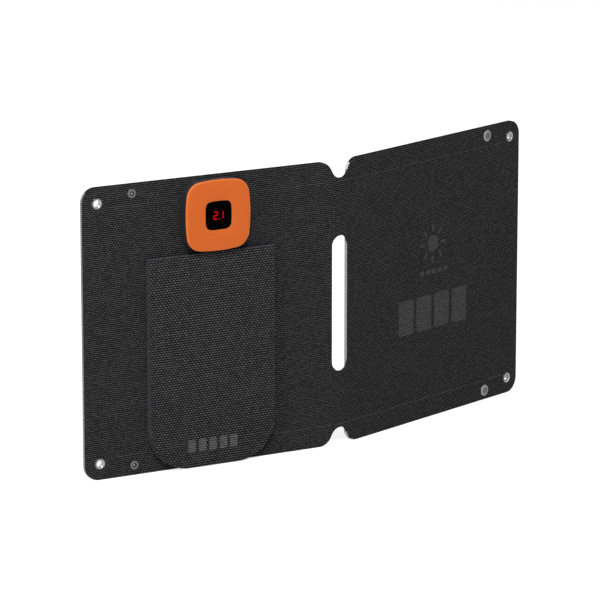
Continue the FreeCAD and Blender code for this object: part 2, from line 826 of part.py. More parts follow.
for board_side in ("left", "right"):
    make_board(board_side)
    make_module(board_side)
    make_eyelets(board_side)
make_snap_studs()
make_snap_sockets()
make_fold()
make_box_shells()
make_electronics()
make_usb_socket()
make_screws()
make_leg()
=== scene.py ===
import json
import math
from random import Random

import bmesh
import bpy
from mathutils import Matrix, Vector


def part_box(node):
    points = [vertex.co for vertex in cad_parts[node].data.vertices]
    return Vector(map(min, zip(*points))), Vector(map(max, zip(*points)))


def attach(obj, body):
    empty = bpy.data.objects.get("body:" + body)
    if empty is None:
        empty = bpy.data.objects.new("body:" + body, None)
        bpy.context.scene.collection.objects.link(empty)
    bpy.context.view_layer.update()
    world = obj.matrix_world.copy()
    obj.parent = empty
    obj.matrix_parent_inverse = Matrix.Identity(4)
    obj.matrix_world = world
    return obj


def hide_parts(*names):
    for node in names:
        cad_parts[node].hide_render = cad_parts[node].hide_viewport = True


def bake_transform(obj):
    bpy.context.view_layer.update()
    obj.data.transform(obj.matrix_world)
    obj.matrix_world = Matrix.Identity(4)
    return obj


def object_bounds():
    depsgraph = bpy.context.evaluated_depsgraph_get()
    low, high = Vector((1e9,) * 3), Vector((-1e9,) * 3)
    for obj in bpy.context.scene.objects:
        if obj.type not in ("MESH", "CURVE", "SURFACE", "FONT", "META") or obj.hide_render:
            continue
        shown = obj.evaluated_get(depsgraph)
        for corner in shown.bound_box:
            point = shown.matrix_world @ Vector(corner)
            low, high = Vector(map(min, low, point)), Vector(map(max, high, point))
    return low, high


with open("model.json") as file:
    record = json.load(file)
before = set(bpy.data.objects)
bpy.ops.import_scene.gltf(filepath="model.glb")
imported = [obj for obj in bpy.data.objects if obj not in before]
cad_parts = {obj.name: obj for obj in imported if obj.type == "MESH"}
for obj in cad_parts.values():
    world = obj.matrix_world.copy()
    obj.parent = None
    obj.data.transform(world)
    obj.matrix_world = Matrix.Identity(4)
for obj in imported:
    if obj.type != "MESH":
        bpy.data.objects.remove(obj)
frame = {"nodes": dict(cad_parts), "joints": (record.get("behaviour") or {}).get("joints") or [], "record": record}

# A folding solar charger: two fabric-covered boards and a fabric fold, with a controller box and a
# hinged leg on the left board. Everything is in metres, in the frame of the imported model.
#
# Pieces are drawn flat and then laid on the boards: s runs along the sheet from the fold line
# (negative on the left board), d stands out from the fabric towards -Y (negative into the board),
# and z runs up. On the left board u = -s.

cad_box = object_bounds()
MM = 0.001
SEED = 14

# ---- Places read from the frame ----
joints = {joint["name"]: joint for joint in frame["joints"]}
leg_axis = Vector(joints["leg_hinge"]["axis"])
ANGLE = math.atan2(leg_axis.y, -leg_axis.x)  # how far each board leans from flat
COS, SIN = math.cos(ANGLE), math.sin(ANGLE)
RIDGE_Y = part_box("fold_web_outer")[0].y
HEIGHT = cad_box[1].z - cad_box[0].z
REACH = cad_box[1].x / COS
LEG_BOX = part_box("leg_face_fabric")

# ---- Sizes that the pieces share with the model ----
WEB_HALF = 8.6 * MM
SLOT_LENGTH = 119.3 * MM
NOTCH_DEPTH = 15.1 * MM
NOTCH_BOTTOM_R = 9.0 * MM
NOTCH_CORNER_R = 13.0 * MM
NOTCH_SLANT = math.radians(63)
CORNER_R = 13.0 * MM
BACK_FABRIC = 0.6 * MM
BOARD_T = 3.5 * MM
BORDER_U = 23.65 * MM
BORDER_Z = 21.25 * MM
EYELET_INSET = 13.8 * MM
EYELET_HOLE_R = 3.5 * MM
SNAP_INSET_U = 46.0 * MM
SNAP_INSET_Z = 8.4 * MM
SNAP_HOLE_R = 1.7 * MM
MID_U = (WEB_HALF + REACH) / 2
MID_Z = HEIGHT / 2
BOX_HALF = 30.4 * MM
BOX_U = MID_U - 2.75 * MM
BOX_Z = HEIGHT - 2.0 * MM - BOX_HALF
BASE_DEPTH = 10.0 * MM
COVER_DEPTH = 12.0 * MM
LEG_HALF = 59.5 * MM
LEG_TOP = LEG_BOX[1].z
LEG_LOW = LEG_BOX[0].z
LEG_CORNER_R = 36.0 * MM
LEG_FACE = 6.4 * MM
LEG_FABRIC_BACK = 5.8 * MM
HEM_INSET = 18.0 * MM
HEM_END = 224.0 * MM
HEM_THREAD_ROWS = (HEM_INSET, HEIGHT - HEM_INSET)
SOCKET_HALF_WIDTH = 6.55 * MM
SOCKET_DEPTHS = (3.9 * MM, 9.6 * MM)
PANE_DEPTH = COVER_DEPTH - 0.1 * MM
WELD = 1e-7  # points nearer than this are one point
SCENE_MIDDLE = (0, 0, 0.12)


# ---- Flat sheet to boards ----
def on_boards(s, d, z):
    """The point s along the sheet, d proud of its fabric face and z up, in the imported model's frame."""
    side = 1 if s >= 0 else -1
    u = abs(s)
    if u >= WEB_HALF:
        x, y = u * COS + d * SIN, u * SIN - d * COS
    else:
        bend_r = WEB_HALF / math.tan(ANGLE)
        turn = ANGLE * u / WEB_HALF
        x = (bend_r + d) * math.sin(turn)
        y = bend_r / COS - (bend_r + d) * math.cos(turn)
    return Vector((side * x, RIDGE_Y + y, z))


def on_left(u, d, z):
    return on_boards(-u, d, z)


# ---- Outlines, as lists of (u, z) ----
def arc(cu, cz, r, start, end, steps):
    """Points on an arc, angles in radians, both ends included."""
    turns = [start + (end - start) * i / steps for i in range(steps + 1)]
    return [(cu + r * math.cos(a), cz + r * math.sin(a)) for a in turns]


def circle(cu, cz, r, steps=32):
    return arc(cu, cz, r, 0, 2 * math.pi, steps)[:-1]


def rectangle(u0, u1, z0, z1, r=0.0, steps=6):
    if r == 0:
        return [(u0, z0), (u1, z0), (u1, z1), (u0, z1)]
    corners = [(u1 - r, z1 - r), (u0 + r, z1 - r), (u0 + r, z0 + r), (u1 - r, z0 + r)]
    points = []
    for i, (cu, cz) in enumerate(corners):
        points += arc(cu, cz, r, i * math.pi / 2, (i + 1) * math.pi / 2, steps)
    return points


def polygon_area(loop):
    return abs(sum(a * d - c * b for (a, b), (c, d) in zip(loop, loop[1:] + loop[:1]))) / 2


def squircle(cu, cz, half, side_r, corner_r, inset=0.0, side_steps=8, corner_steps=12):
    """A square with slightly bulging sides and round corners, moved in by inset."""
    k = side_r - half
    c = (math.sqrt(2 * (side_r - corner_r) ** 2 - k**2) - k) / 2
    bend = math.atan2(c, c + k)
    points = []
    for quarter in range(4):
        turn = quarter * math.pi / 2
        cos, sin = math.cos(turn), math.sin(turn)
        side = arc(cu - k * cos, cz - k * sin, side_r - inset, turn - bend, turn + bend, side_steps)
        corner_u, corner_z = cu + c * (cos - sin), cz + c * (sin + cos)
        corner = arc(
            corner_u, corner_z, corner_r - inset, turn + bend, turn + math.pi / 2 - bend, corner_steps
        )
        points += side[:-1] + corner[:-1]
    return points


def shoulder_u():
    """The centre of the notch's rounded shoulder."""
    reach_r = NOTCH_CORNER_R + NOTCH_BOTTOM_R
    run = NOTCH_DEPTH + reach_r * (math.cos(NOTCH_SLANT) - 1)
    return reach_r * math.sin(NOTCH_SLANT) + run / math.tan(NOTCH_SLANT)


def half_outline(sign):
    """From the middle of the upper notch round one board to the middle of the lower notch."""
    right = math.pi / 2
    upper = arc(0, HEIGHT - NOTCH_DEPTH + NOTCH_BOTTOM_R, NOTCH_BOTTOM_R, -right, NOTCH_SLANT - right, 10)
    upper += arc(shoulder_u(), HEIGHT - NOTCH_CORNER_R, NOTCH_CORNER_R, right + NOTCH_SLANT, right, 10)
    upper += arc(REACH - CORNER_R, HEIGHT - CORNER_R, CORNER_R, right, 0, 14)
    lower = [(u, HEIGHT - z) for u, z in reversed(upper)]
    return [(sign * u, z) for u, z in upper + lower]


def sheet_outline():
    right, left = half_outline(1), half_outline(-1)
    return right[:-1] + left[::-1][:-1]


def slot_outline():
    reach = SLOT_LENGTH / 2 - WEB_HALF
    upper = arc(0, MID_Z + reach, WEB_HALF, 0, math.pi, 16)
    return upper + arc(0, MID_Z - reach, WEB_HALF, math.pi, 2 * math.pi, 16)


def corner_places(inset_u, inset_z):
    return [(REACH - inset_u, z) for z in (inset_z, HEIGHT - inset_z)]


EYELETS = corner_places(EYELET_INSET, EYELET_INSET)
SNAPS = corner_places(SNAP_INSET_U, SNAP_INSET_Z)


def fastener_holes(sign):
    holes = [circle(sign * u, z, EYELET_HOLE_R) for u, z in EYELETS]
    return holes + [circle(sign * u, z, SNAP_HOLE_R, 20) for u, z in SNAPS]


def new_object(name, bm, smooth_angle=35):
    mesh = bpy.data.meshes.new(name)
    bm.to_mesh(mesh)
    bm.free()
    obj = bpy.data.objects.new(name, mesh)
    bpy.context.scene.collection.objects.link(obj)
    mesh.shade_smooth()
    mesh.set_sharp_from_angle(angle=math.radians(smooth_angle))
    return obj


def add_uv(bm, name, places):
    """A UV layer in metres, with one place for each vertex."""
    layer = bm.loops.layers.uv.new(name)
    for face in bm.faces:
        for loop in face.loops:
            loop[layer].uv = places[loop.vert]


def filled(loops):
    """The flat area inside the first loop and outside the others, as a bmesh in the X-Y plane."""
    curve = bpy.data.curves.new("outline", "CURVE")
    curve.dimensions = "2D"
    curve.fill_mode = "BOTH"
    for loop in loops:
        spline = curve.splines.new("POLY")
        spline.points.add(len(loop) - 1)
        for point, (a, b) in zip(spline.points, loop):
            point.co = (a, b, 0, 1)
        spline.use_cyclic_u = True
    obj = bpy.data.objects.new("outline", curve)
    bpy.context.scene.collection.objects.link(obj)
    bpy.context.view_layer.update()
    mesh = bpy.data.meshes.new_from_object(obj.evaluated_get(bpy.context.evaluated_depsgraph_get()))
    bm = bmesh.new()
    bm.from_mesh(mesh)
    bpy.data.objects.remove(obj)
    bpy.data.curves.remove(curve)
    bpy.data.meshes.remove(mesh)
    bmesh.ops.remove_doubles(bm, verts=bm.verts, dist=WELD)
    return bm


def ruled(bm, across=(), along=()):
    """Cuts the flat faces along lines of constant s and of constant z."""
    cuts = [((s, 0, 0), (1, 0, 0)) for s in across] + [((0, z, 0), (0, 1, 0)) for z in along]
    for point, normal in cuts:
        geometry = bm.verts[:] + bm.edges[:] + bm.faces[:]
        bmesh.ops.bisect_plane(bm, geom=geometry, dist=WELD, plane_co=point, plane_no=normal)
    return bm


def sheet(name, loops, d0, d1, across=(), along=(), dent=None, rim=0):
    """A closed sheet from d0 (inner) to d1 (outer), with a flat-size UV map called flat."""
    flat = ruled(filled(loops), across, along)
    sum(face.calc_area() for face in flat.faces)
    solid = bmesh.new()
    places = {}
    layers = []
    for d in (d1, d0):
        layer = {}
        for v in flat.verts:
            s, z = v.co.x, v.co.y
            proud = d - dent(s, z) if dent and d == d1 else d
            layer[v.index] = solid.verts.new(on_boards(s, proud, z))
            places[layer[v.index]] = (s, z)
        layers.append(layer)
    outer, inner = layers
    for face in flat.faces:
        solid.faces.new([outer[v.index] for v in face.verts])
        solid.faces.new([inner[v.index] for v in reversed(face.verts)])
    for edge in flat.edges:
        if edge.is_boundary:
            a, b = (v.index for v in edge.verts)
            solid.faces.new([outer[a], outer[b], inner[b], inner[a]]).material_index = rim
    flat.free()
    bmesh.ops.recalc_face_normals(solid, faces=solid.faces)
    add_uv(solid, "flat", places)
    return new_object(name, solid, 30)


def loft(name, rings, laid=on_left, caps=True, smooth_angle=35):
    """Joins rings of (u, d, z) points. Without caps the last ring joins the first."""
    bm = bmesh.new()
    places = {}
    rows = []
    for ring in rings:
        row = []
        for u, d, z in ring:
            v = bm.verts.new(laid(u, d, z))
            places[v] = (u, z)
            row.append(v)
        rows.append(row)
    pairs = list(zip(rows, rows[1:])) + ([] if caps else [(rows[-1], rows[0])])
    count = len(rows[0])
    for low, high in pairs:
        for i in range(count):
            j = (i + 1) % count
            bm.faces.new([low[i], low[j], high[j], high[i]])
    if caps:
        bm.faces.new(rows[0][::-1])
        bm.faces.new(rows[-1])
    bmesh.ops.recalc_face_normals(bm, faces=bm.faces)
    add_uv(bm, "flat", places)
    return new_object(name, bm, smooth_angle)


def rounded_rim(d0, radius, steps, rising=True):
    """(inset, d) pairs round a quarter circle, from the side wall onto the face, or the other way."""
    pairs = []
    for i in range(steps + 1):
        a = math.pi / 2 * i / steps
        pairs.append((radius * (1 - math.cos(a)), d0 + radius * math.sin(a)))
    return pairs if rising else [(i, 2 * d0 - d) for i, d in pairs][::-1]


def lathe(name, profile, places, side, steps=48):
    """Turned pieces about axes through the board, from a closed profile of (radius, d)."""
    bm = bmesh.new()
    turned = {}
    for u, z in places:
        rows = []
        for r, d in profile:
            count = 1 if r == 0 else steps
            ring = circle(u, z, r, count)
            row = [bm.verts.new(on_boards(side * cu, d, cz)) for cu, cz in ring]
            turned.update((v, (r, d)) for v in row)
            rows.append(row * (steps // count))
        for low, high in zip(rows, rows[1:] + rows[:1]):
            for i in range(steps):
                j = (i + 1) % steps
                corners = list(dict.fromkeys([low[i], low[j], high[j], high[i]]))
                if len(corners) > 2:
                    bm.faces.new(corners)
    bmesh.ops.recalc_face_normals(bm, faces=bm.faces)
    add_uv(bm, "turned", turned)
    return new_object(name, bm, 50)


# ---- Material nodes ----
class Surface:
    """A material built from nodes round one Principled shader."""

    def __init__(self, name, **shader):
        self.material = bpy.data.materials.new(name)
        self.material.use_nodes = True
        self.tree = self.material.node_tree
        self.shader = self.tree.nodes["Principled BSDF"]
        for key, value in shader.items():
            self.shader.inputs[key.replace("_", " ")].default_value = value

    def add(self, kind, settings=None, **inputs):
        node = self.tree.nodes.new("ShaderNode" + kind)
        for key, value in (settings or {}).items():
            setattr(node, key, value)
        for key, value in inputs.items():
            self.feed(node.inputs[key.replace("_", " ")], value)
        return node

    def feed(self, socket, value):
        if isinstance(value, bpy.types.NodeSocket):
            self.tree.links.new(value, socket)
        else:
            socket.default_value = value

    def calc(self, operation, a, b=0.0):
        node = self.add("Math", {"operation": operation})
        self.feed(node.inputs[0], a)
        self.feed(node.inputs[1], b)
        return node.outputs[0]

    def place(self, uv=None):
        """Flat-size UV coordinates, or the object's own."""
        if uv:
            return self.add("UVMap", {"uv_map": uv}).outputs["UV"]
        return self.add("TexCoord").outputs["Object"]

    def noise(self, vector, scale, detail=3.0, roughness=0.55):
        node = self.add("TexNoise", Vector=vector, Scale=scale, Detail=detail, Roughness=roughness)
        return node.outputs["Fac"]

    def ramp(self, value, low, high, to_low=0.0, to_high=1.0):
        node = self.add("MapRange", Value=value, From_Min=low, From_Max=high, To_Min=to_low, To_Max=to_high)
        return node.outputs["Result"]

    def mix(self, factor, a, b):
        node = self.add("Mix", {"data_type": "RGBA"})
        self.feed(node.inputs[0], factor)
        self.feed(node.inputs[6], a)
        self.feed(node.inputs[7], b)
        return node.outputs[2]

    def colour(self, value):
        self.feed(self.shader.inputs["Base Color"], value)

    def roughness(self, value):
        self.feed(self.shader.inputs["Roughness"], value)

    def bump(self, height, distance, strength=1.0):
        node = self.add("Bump", Height=height, Distance=distance, Strength=strength)
        self.feed(self.shader.inputs["Normal"], node.outputs["Normal"])


def rgb(r, g, b):
    return (r, g, b, 1.0)


def grey(v):
    return rgb(v, v, v)


def woven(name, uv, warp, weft, dark, warp_highlight, weft_highlight):
    """Plain weave. warp and weft are the yarn pitches across and along. dark is the grey between the
    yarns: the fabric's own black, deepened there as painted shade. Each yarn's grey is a painted highlight, added
    to it where that yarn is on top."""
    tint = (1.0, 1.0, 1.03)
    wander_u, wander_v = 0.3, 0.25  # how far the yarns stray, in pitches
    over_low, over_high = 0.32, 0.74  # where a weft float starts and is at its full height
    weft_round, warp_round = 2.3, 0.6  # how quickly each yarn falls away at its edges
    m = Surface(name, Specular_IOR_Level=0.06)
    place = m.place(uv)
    parts = m.add("SeparateXYZ", Vector=place)
    across, up = parts.outputs[0], parts.outputs[1] if uv else parts.outputs[2]
    drift = m.noise(place, 60.0, 2.0)
    u = m.calc("ADD", m.calc("DIVIDE", across, warp), m.calc("MULTIPLY", drift, wander_u))
    v = m.calc("ADD", m.calc("DIVIDE", up, weft), m.calc("MULTIPLY", drift, wander_v))
    row = m.calc("FLOOR", v)
    along = m.calc("ABSOLUTE", m.calc("SINE", m.calc("MULTIPLY", m.calc("ADD", u, row), math.pi / 2)))
    size_v = m.calc("ABSOLUTE", m.calc("SINE", m.calc("MULTIPLY", v, math.pi)))
    over = m.ramp(along, over_low, over_high)
    weft_top = m.calc("MULTIPLY", over, m.calc("POWER", size_v, weft_round))
    warp_top = m.calc("MULTIPLY", m.calc("SUBTRACT", 1.0, over), m.calc("POWER", size_v, warp_round))
    dash = m.calc("FLOOR", m.calc("MULTIPLY", m.calc("ADD", u, row), 0.5))
    cell = m.add("CombineXYZ", X=dash, Y=row)
    chance = m.add("TexWhiteNoise", {"noise_dimensions": "2D"}, Vector=cell.outputs[0]).outputs["Value"]
    patch = m.noise(place, 25.0, 4.0)
    bright = m.calc("MULTIPLY", m.ramp(chance, 0, 1, 0.7, 1.3), m.ramp(patch, 0.3, 0.7, 0.96, 1.04))
    weft_part = m.calc("MULTIPLY", weft_top, bright)
    warp_part = m.calc("MULTIPLY", warp_top, bright)
    # Painted light: the weft and warp greys are painted highlights on the yarn floats, fading towards each yarn's
    # edges, and the gaps between yarns stay dark as painted shade.
    level = m.calc("ADD", m.calc("MULTIPLY", weft_part, weft_highlight), m.calc("MULTIPLY", warp_part, warp_highlight))
    level = m.calc("ADD", level, dark)
    shade = m.add("CombineColor")
    for i, t in enumerate(tint):
        m.feed(shade.inputs[i], m.calc("MULTIPLY", level, t))
    m.colour(shade.outputs[0])
    fibre = m.noise(place, 9000.0, 2.0)
    height = m.calc("MAXIMUM", weft_top, warp_top)
    m.bump(m.calc("ADD", height, m.calc("MULTIPLY", fibre, 0.25)), 0.00028, 0.8)
    m.roughness(m.ramp(fibre, 0.3, 0.7, 0.78, 0.95))
    return m.material


def moulded(name, colour, rough=0.5, grain=0.00002, variation=0.08, grain_scale=4500.0, **shader):
    """Moulded plastic: a fine spark-eroded grain, slight colour drift and faint handling marks."""
    m = Surface(name, **shader)
    place = m.place()
    drift = m.noise(place, 30.0, 4.0)
    low = rgb(*(c * (1 - variation) for c in colour))
    high = rgb(*(min(1.0, c * (1 + variation)) for c in colour))
    m.colour(m.mix(m.ramp(drift, 0.3, 0.7), low, high))
    marks = m.noise(place, 220.0, 5.0, 0.7)
    m.roughness(m.ramp(marks, 0.3, 0.75, rough - 0.06, rough + 0.08))
    m.bump(m.noise(place, grain_scale, 2.0), grain)
    return m.material


def cover_with_painted_rim_highlight(name, colour, rim_highlight_colour):
    """Moulded cover, paler on its rounded rim as a painted highlight, with slight random tone drift."""
    m = Surface(name, Specular_IOR_Level=0.16)
    place = m.place()
    out = m.add("VectorMath", {"operation": "DOT_PRODUCT"})
    m.feed(out.inputs[0], place)
    m.feed(out.inputs[1], (-SIN, -COS, 0.0))
    proud = m.calc("ADD", out.outputs["Value"], RIDGE_Y * COS)
    start = m.ramp(proud, COVER_DEPTH - 0.9 * MM, COVER_DEPTH - 0.5 * MM)  # grows up the rim
    end = m.ramp(proud, COVER_DEPTH - 0.12 * MM, COVER_DEPTH - 0.02 * MM, 1.0, 0.0)  # fades on the face
    drift = m.ramp(m.noise(place, 30.0, 4.0), 0.3, 0.7, 0.0, 0.12)
    # Painted highlight: the rim band is mixed towards the paler rim colour where light would catch the rounded
    # edge.
    rim_highlight_and_drift = m.calc("MAXIMUM", m.calc("MULTIPLY", start, end), drift)
    m.colour(m.mix(rim_highlight_and_drift, colour, rim_highlight_colour))
    m.roughness(m.ramp(m.noise(place, 220.0, 5.0, 0.7), 0.3, 0.75, 0.44, 0.58))
    m.bump(m.noise(place, 4500.0, 2.0), 0.00002)
    return m.material


def metal(name, colour, rough, streak=1.0):
    """Plated metal with fine turning or drawing marks."""
    m = Surface(name, Metallic=1.0)
    place = m.place()
    stretched = m.add("Mapping", Vector=place, Scale=(900.0, 900.0, 900.0 * streak)).outputs[0]
    lines = m.noise(stretched, 1.0, 3.0)
    spots = m.noise(place, 400.0, 4.0)
    m.colour(m.mix(m.ramp(spots, 0.35, 0.7), rgb(*(c * 0.86 for c in colour)), rgb(*colour)))
    m.roughness(m.ramp(lines, 0.3, 0.7, rough * 0.7, rough * 1.4))
    m.bump(lines, 0.000006)
    return m.material


def plated_with_painted_highlight(name, bright, dull, bright_r, spread, rough):
    """Turned pieces with a painted highlight: brightest at one radius and darker away from it as painted shade,
    with fine turning marks.
    """
    m = Surface(name, Metallic=1.0)
    radius = m.add("SeparateXYZ", Vector=m.place("turned")).outputs[0]
    off = m.calc("ABSOLUTE", m.calc("SUBTRACT", radius, bright_r))
    spots = m.noise(m.place(), 500.0, 4.0)
    # Painted reflection: the bright ring at bright_r and the dull grey away from it stand in for light on the
    # metal.
    painted_highlight = m.calc("MULTIPLY", m.ramp(off, 0.0, spread, 1.0, 0.0), m.ramp(spots, 0.3, 0.7, 0.85, 1.0))
    m.colour(m.mix(painted_highlight, rgb(dull, dull * 0.97, dull * 0.97), rgb(bright, bright * 0.985, bright * 0.985)))
    rings = m.calc("SINE", m.calc("MULTIPLY", radius, 60000.0))
    m.roughness(m.ramp(spots, 0.3, 0.7, rough * 0.8, rough * 1.25))
    m.bump(rings, 0.000002)
    return m.material


def foam(name, colour):
    """The cut edge of the boards: fine pores, with painted shade darkening it in the slot and at the outer ends.
    """
    end_from, end_to = 0.222, 0.236  # distance from the fold over which the outer ends grey
    slot_from, slot_to = 0.060, 0.066  # distance from mid height over which the slot's grey fades
    m = Surface(name, Specular_IOR_Level=0.2)
    place = m.place()
    cells = m.add("TexVoronoi", {"feature": "F1"}, Vector=place, Scale=2600.0).outputs["Distance"]
    drift = m.noise(place, 120.0, 4.0)
    low, high = rgb(*(c * 0.8 for c in colour)), rgb(*colour)
    unshaded_tone = m.mix(m.ramp(drift, 0.3, 0.7), low, high)
    across = m.calc("ABSOLUTE", m.add("SeparateXYZ", Vector=place).outputs[0])
    # Painted shade: the outer ends are darkened to 0.42 of the colour and the middle band round the slot to 0.6,
    # standing in for less light falling there.
    end_shade = m.ramp(across, end_from, end_to)
    up = m.calc("ABSOLUTE", m.calc("SUBTRACT", m.add("SeparateXYZ", Vector=place).outputs[2], MID_Z))
    slot_shade = m.ramp(up, slot_from, slot_to, 1.0, 0.0)
    shaded_in_slot = m.mix(slot_shade, unshaded_tone, rgb(*(c * 0.6 for c in colour)))
    m.colour(m.mix(end_shade, shaded_in_slot, rgb(*(c * 0.42 for c in colour))))
    m.roughness(m.ramp(cells, 0.0, 0.6, 0.75, 0.95))
    m.bump(cells, 0.00006)
    return m.material


def silicon(name):
    """Solar cells under the film: blue-black, with faint crystal tone and fine texture."""
    m = Surface(name, Coat_Weight=0.35, Coat_Roughness=0.12, Specular_IOR_Level=0.15)
    place = m.place()
    tone = m.noise(place, 14.0, 5.0)
    m.colour(m.mix(m.ramp(tone, 0.3, 0.7), rgb(0.004, 0.007, 0.020), rgb(0.008, 0.015, 0.045)))
    dimple = m.add("TexVoronoi", {"feature": "SMOOTH_F1"}, Vector=place, Scale=900.0).outputs["Distance"]
    m.roughness(m.ramp(tone, 0.3, 0.7, 0.3, 0.42))
    m.bump(dimple, 0.00008)
    return m.material


def film(name, colour):
    """The embossed clear film over the module's dark back sheet."""
    m = Surface(name, Coat_Weight=0.3, Coat_Roughness=0.15, Specular_IOR_Level=0.2)
    place = m.place()
    dimple = m.add("TexVoronoi", {"feature": "SMOOTH_F1"}, Vector=place, Scale=900.0).outputs["Distance"]
    drift = m.noise(place, 40.0, 3.0)
    m.colour(m.mix(m.ramp(drift, 0.3, 0.7), rgb(*(c * 0.8 for c in colour)), rgb(*colour)))
    m.roughness(m.ramp(dimple, 0.0, 0.6, 0.25, 0.4))
    m.bump(dimple, 0.00008)
    return m.material


def laminate_board(name):
    """Circuit board: green mask over faint tracks."""
    m = Surface(name, Coat_Weight=0.4, Coat_Roughness=0.2)
    place = m.place()
    tracks = m.add("TexBrick", {"offset": 0.5}, Vector=place, Scale=260.0, Mortar_Size=0.06).outputs["Fac"]
    m.colour(m.mix(tracks, rgb(0.010, 0.075, 0.030), rgb(0.02, 0.13, 0.05)))
    m.roughness(m.ramp(m.noise(place, 300.0), 0.3, 0.7, 0.35, 0.5))
    m.bump(tracks, 0.00003)
    return m.material


def glossy_black(name):
    m = Surface(name, Specular_IOR_Level=0.006)
    place = m.place()
    smear = m.noise(place, 160.0, 5.0, 0.65)
    m.colour(m.mix(m.ramp(smear, 0.3, 0.8), grey(0.0004), grey(0.0009)))
    m.roughness(m.ramp(smear, 0.3, 0.75, 0.10, 0.2))
    m.bump(smear, 0.000002)
    return m.material


def lit(name, colour, strength):
    m = Surface(name, Emission_Strength=strength, Roughness=0.4, Specular_IOR_Level=0.0)
    glow = m.noise(m.place(), 700.0, 2.0)
    shade = m.mix(m.ramp(glow, 0.3, 0.7), rgb(*(c * 0.82 for c in colour)), rgb(*colour))
    m.feed(m.shader.inputs["Emission Color"], shade)
    m.shader.inputs["Base Color"].default_value = rgb(0.02, 0.0, 0.0)
    return m.material


def thread(name):
    m = Surface(name, Specular_IOR_Level=0.3, Sheen_Weight=0.2)
    place = m.place()
    twist = m.noise(m.add("Mapping", Vector=place, Scale=(1500.0, 1500.0, 4000.0)).outputs[0], 1.0, 2.0)
    # Painted highlight: the thread's greys sit well above a black thread, standing in for light along the groove's
    # lower flank.
    m.colour(m.mix(m.ramp(twist, 0.3, 0.7), grey(0.035), grey(0.085)))
    m.roughness(m.ramp(twist, 0.3, 0.7, 0.6, 0.85))
    m.bump(twist, 0.00005)
    return m.material


FABRIC = woven("fabric_panel", "flat", 1.33 * MM, 1.70 * MM, 0.0030, 0.009, 0.079)
LEG_FABRIC = woven("fabric_leg", "flat", 1.48 * MM, 2.0 * MM, 0.0032, 0.010, 0.093)
PRINT = woven("fabric_print", "flat", 1.33 * MM, 1.70 * MM, 0.030, 0.030, 0.08)
LEG_PRINT = woven("fabric_leg_print", "flat", 1.48 * MM, 2.0 * MM, 0.048, 0.04, 0.11)
BORDER = woven("fabric_border", None, 0.9 * MM, 1.0 * MM, 0.006, 0.012, 0.03)
EDGING = woven("edging", None, 0.45 * MM, 0.5 * MM, 0.004, 0.006, 0.010)
CORE = foam("board_edge", (0.62, 0.63, 0.66))
BRIGHT = metal("bright_metal", (0.82, 0.82, 0.83), 0.2)
EYELET_METAL = plated_with_painted_highlight("eyelet_metal", 0.45, 0.07, 3.3 * MM, 1.3 * MM, 0.2)
RING_METAL = plated_with_painted_highlight("snap_ring_metal", 0.17, 0.05, 2.9 * MM, 1.3 * MM, 0.4)
CAP_METAL = plated_with_painted_highlight("snap_cap_metal", 0.27, 0.10, 4.7 * MM, 2.6 * MM, 0.4)
BEAD_METAL = plated_with_painted_highlight("snap_bead_metal", 0.7, 0.4, 0.0, 1.0 * MM, 0.3)
STEEL = metal("steel", (0.36, 0.36, 0.37), 0.32, 0.05)
TINNED = metal("tinned_copper", (0.78, 0.76, 0.72), 0.38, 0.1)
ORANGE = cover_with_painted_rim_highlight("orange_cover", rgb(0.66, 0.128, 0.020), rgb(0.78, 0.19, 0.038))
HOUSING = moulded("dark_housing", (0.025, 0.026, 0.029), 0.6, Specular_IOR_Level=0.05)
LEG_PLASTIC = moulded("leg_plastic", (0.050, 0.052, 0.066), 0.5, Specular_IOR_Level=0.25)
BLACK_PLASTIC = moulded("black_plastic", (0.015, 0.015, 0.016), 0.55)
WHITE_SHEET = moulded("white_sheet", (0.75, 0.75, 0.74), 0.6)
FIBRE = moulded("fibre_board", (0.30, 0.24, 0.17), 0.85, 0.0001, 0.2, 900.0)
CAN = metal("capacitor_can", (0.8, 0.8, 0.8), 0.3, 0.02)
WINDOW = glossy_black("display_window")
CELLS = silicon("solar_cell")
FILM = film("module_film", (0.035, 0.038, 0.046))
LIT_TAB = metal("cell_tab", (0.62, 0.61, 0.6), 0.4, 0.1)
BOARD = laminate_board("circuit_board")
RED = lit("lit_segment", (1.0, 0.003, 0.004), 0.85)
DIM = moulded("unlit_segment", (0.003, 0.0010, 0.0010), 0.4, Specular_IOR_Level=0.02)
THREAD = thread("thread")

SLOT_MATERIALS = {
    "fabric": BORDER,
    "edging": EDGING,
    "board_core": CORE,
    "back_sheet": WHITE_SHEET,
    "solar_cell": CELLS,
    "clear_film": FILM,
    "tinned_copper": TINNED,
    "bright_metal": BRIGHT,
    "steel": STEEL,
    "dark_housing": HOUSING,
    "orange_cover": ORANGE,
    "black_window": WINDOW,
    "lit_segments": RED,
    "black_plastic": BLACK_PLASTIC,
    "circuit_board": BOARD,
    "capacitor_can": CAN,
    "leg_plastic": LEG_PLASTIC,
    "fibre_board": FIBRE,
}


def finish_piece(obj, material, body=None, replaces=()):
    obj.data.materials.append(material)
    if body:
        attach(obj, body)
    if replaces:
        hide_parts(*replaces)
    return obj


def bend_over_fold(obj):
    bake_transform(obj)


# ---- Camera, light and floor ----
def make_camera():
    """The view's turn and tilt, its distance and lens, and the point that it looks at."""
    yaw, pitch = math.radians(38.877), math.radians(13.572)
    distance, lens = 3.392, 239.66
    aim = Vector((-0.04495, RIDGE_Y, MID_Z + 0.00978))
    forward = Vector((math.sin(yaw) * math.cos(pitch), math.cos(yaw) * math.cos(pitch), -math.sin(pitch)))
    camera = bpy.data.objects.new("camera", bpy.data.cameras.new("camera"))
    camera.data.sensor_width = 36.0
    camera.data.lens = lens
    camera.data.clip_end = 50.0
    camera.location = aim - distance * forward
    camera.rotation_euler = forward.to_track_quat("-Z", "Y").to_euler()
    bpy.context.scene.collection.objects.link(camera)
    bpy.context.scene.camera = camera


